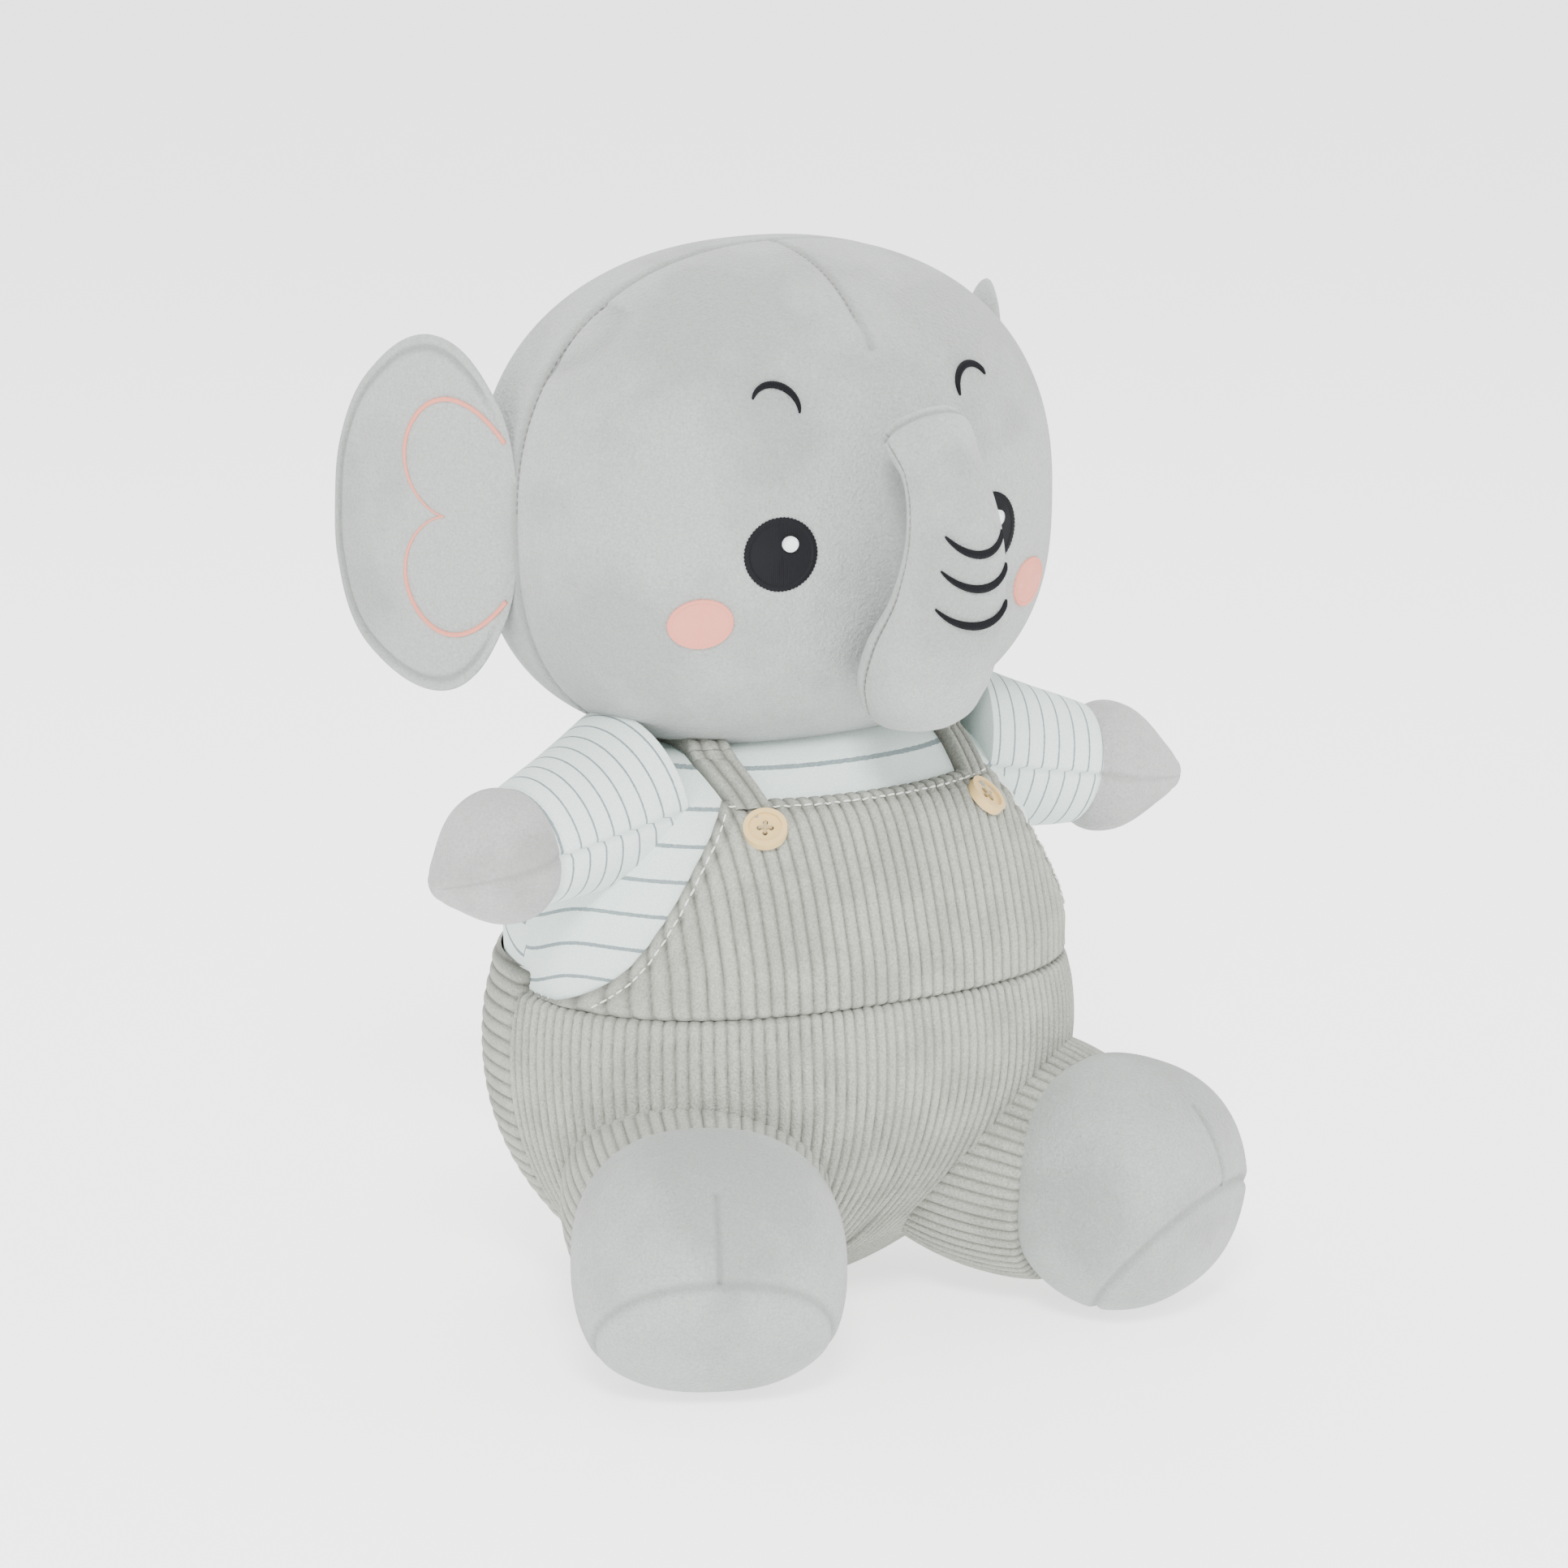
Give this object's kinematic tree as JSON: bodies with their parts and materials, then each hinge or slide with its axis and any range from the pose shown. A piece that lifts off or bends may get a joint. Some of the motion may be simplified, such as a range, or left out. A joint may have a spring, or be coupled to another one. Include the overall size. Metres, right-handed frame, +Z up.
{
  "type": "stuffed elephant",
  "caption": "Seated stuffed elephant in a striped shirt and corduroy dungarees, with a raised trunk and embroidered face.",
  "frame": {"origin": "the middle of the flat seat, on the floor", "axes": "+Z up; the elephant faces -Y and its own left is +X"},
  "size_m": [0.2616, 0.2037, 0.3037],
  "materials": {
    "plush": "matte",
    "plush_hands": "matte",
    "corduroy": "matte",
    "shirt_knit": "matte",
    "black_thread": "satin",
    "white_thread": "satin",
    "pink_thread": "satin",
    "button_wood": "satin",
    "button_thread": "matte",
    "stuffing": "matte"
  },
  "bodies": {
    "torso": {"torso_stuffing": "stuffing", "dungaree_front": "corduroy", "dungaree_back": "corduroy", "shirt_front": "shirt_knit", "shirt_back": "shirt_knit", "bib": "corduroy", "strap_left": "corduroy", "button_left": "button_wood", "button_thread_left": "button_thread", "strap_right": "corduroy", "button_right": "button_wood", "button_thread_right": "button_thread"},
    "head": {"head_stuffing": "stuffing", "face_panel": "plush", "head_back_panel": "plush", "mouth": "black_thread", "eye_left": "black_thread", "eye_light_left": "white_thread", "cheek_left": "pink_thread", "brow_left": "black_thread", "eye_right": "black_thread", "eye_light_right": "white_thread", "cheek_right": "pink_thread", "brow_right": "black_thread"},
    "trunk": {"trunk_stuffing": "stuffing", "trunk_front_panel": "plush", "trunk_back_panel": "plush", "trunk_tip": "plush", "trunk_crease_1": "black_thread", "trunk_crease_2": "black_thread", "trunk_crease_3": "black_thread"},
    "ear_left": {"ear_padding_left": "stuffing", "ear_front_panel_left": "plush", "ear_back_panel_left": "plush", "ear_heart_left": "pink_thread"},
    "arm_left": {"sleeve_left": "shirt_knit", "hand_left": "plush_hands", "arm_stuffing_left": "stuffing"},
    "leg_left": {"trouser_leg_left": "corduroy", "foot_upper_left": "plush", "foot_sole_left": "plush", "leg_stuffing_left": "stuffing"},
    "ear_right": {"ear_padding_right": "stuffing", "ear_front_panel_right": "plush", "ear_back_panel_right": "plush", "ear_heart_right": "pink_thread"},
    "arm_right": {"sleeve_right": "shirt_knit", "hand_right": "plush_hands", "arm_stuffing_right": "stuffing"},
    "leg_right": {"trouser_leg_right": "corduroy", "foot_upper_right": "plush", "foot_sole_right": "plush", "leg_stuffing_right": "stuffing"}
  },
  "joints": [
    {"name": "head_turn", "type": "hinge", "parent": "torso", "child": "head", "pos_m": [0, 0.004, 0.17], "axis": [0, 0, 1], "range_deg": [-15, 15], "stiffness_Nm_per_rad": 1},
    {"name": "trunk_bend", "type": "hinge", "parent": "head", "child": "trunk", "pos_m": [0, -0.062, 0.204], "axis": [1, 0, 0], "range_deg": [0, 15], "stiffness_Nm_per_rad": 0.3},
    {"name": "ear_flap_left", "type": "hinge", "parent": "head", "child": "ear_left", "pos_m": [0.087, 0.008, 0.236], "axis": [0, 0, 1], "range_deg": [-15, 20], "stiffness_Nm_per_rad": 0.15},
    {"name": "arm_swing_left", "type": "hinge", "parent": "torso", "child": "arm_left", "pos_m": [0.069, -0.004, 0.15], "axis": [0, 0, -1], "range_deg": [-15, 12], "stiffness_Nm_per_rad": 0.4},
    {"name": "leg_splay_left", "type": "hinge", "parent": "torso", "child": "leg_left", "pos_m": [0.058, -0.049, 0.036], "axis": [0, 0, 1], "range_deg": [-6, 10], "stiffness_Nm_per_rad": 0.8},
    {"name": "ear_flap_right", "type": "hinge", "parent": "head", "child": "ear_right", "pos_m": [-0.087, 0.008, 0.236], "axis": [0, 0, -1], "range_deg": [-15, 20], "stiffness_Nm_per_rad": 0.15},
    {"name": "arm_swing_right", "type": "hinge", "parent": "torso", "child": "arm_right", "pos_m": [-0.069, -0.004, 0.15], "axis": [0, 0, 1], "range_deg": [-15, 12], "stiffness_Nm_per_rad": 0.4},
    {"name": "leg_splay_right", "type": "hinge", "parent": "torso", "child": "leg_right", "pos_m": [-0.058, -0.049, 0.036], "axis": [0, 0, -1], "range_deg": [-6, 10], "stiffness_Nm_per_rad": 0.8}
  ]
}
